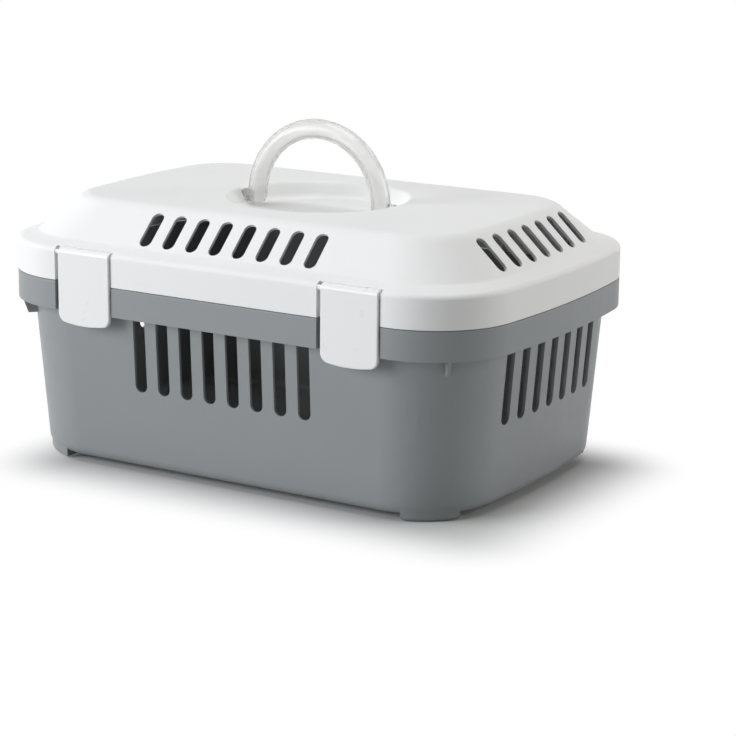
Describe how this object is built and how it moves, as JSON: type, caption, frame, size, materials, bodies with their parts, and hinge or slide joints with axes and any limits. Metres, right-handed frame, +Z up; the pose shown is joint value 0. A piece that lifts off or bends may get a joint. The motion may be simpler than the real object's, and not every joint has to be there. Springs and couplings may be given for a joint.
{
  "type": "pet carrier",
  "caption": "Small vented plastic pet carrier: open tub with a flanged rim, domed lid held by swinging snap clips, and an arched carrying handle that folds into a dish.",
  "frame": {"origin": "on the floor under the middle of the carrier's footprint", "axes": "+X along the length, towards the end on the right as seen from the front; +Y towards the rear long side with the lid's hinge clips; +Z up"},
  "size_m": [0.485, 0.33, 0.2926],
  "materials": {
    "grey_plastic": "satin",
    "white_plastic": "satin",
    "clip_plastic": "gloss",
    "clear_white_plastic": "gloss"
  },
  "bodies": {
    "tub": {"tub": "grey_plastic"},
    "lid": {"lid": "white_plastic"},
    "front_left_clip": {"front_left_clip": "clip_plastic"},
    "front_right_clip": {"front_right_clip": "clip_plastic"},
    "rear_left_clip": {"rear_left_clip": "clip_plastic"},
    "rear_right_clip": {"rear_right_clip": "clip_plastic"},
    "handle": {"handle": "clear_white_plastic"}
  },
  "joints": [
    {"name": "lid_hinge", "type": "hinge", "parent": "tub", "child": "lid", "pos_m": [0, 0.1605, 0.187], "axis": [-1, 0, 0], "range_deg": [0, 100]},
    {"name": "front_left_clip_hinge", "type": "hinge", "parent": "lid", "child": "front_left_clip", "pos_m": [-0.13, -0.1605, 0.187], "axis": [-1, 0, 0], "range_deg": [0, 90]},
    {"name": "front_right_clip_hinge", "type": "hinge", "parent": "lid", "child": "front_right_clip", "pos_m": [0.13, -0.1605, 0.187], "axis": [-1, 0, 0], "range_deg": [0, 90]},
    {"name": "rear_left_clip_hinge", "type": "hinge", "parent": "tub", "child": "rear_left_clip", "pos_m": [-0.13, 0.1605, 0.187], "axis": [1, 0, 0], "range_deg": [0, 90]},
    {"name": "rear_right_clip_hinge", "type": "hinge", "parent": "tub", "child": "rear_right_clip", "pos_m": [0.13, 0.1605, 0.187], "axis": [1, 0, 0], "range_deg": [0, 90]},
    {"name": "handle_fold", "type": "hinge", "parent": "lid", "child": "handle", "pos_m": [0, 0, 0.2218], "axis": [1, 0, 0], "range_deg": [-86, 86]}
  ]
}
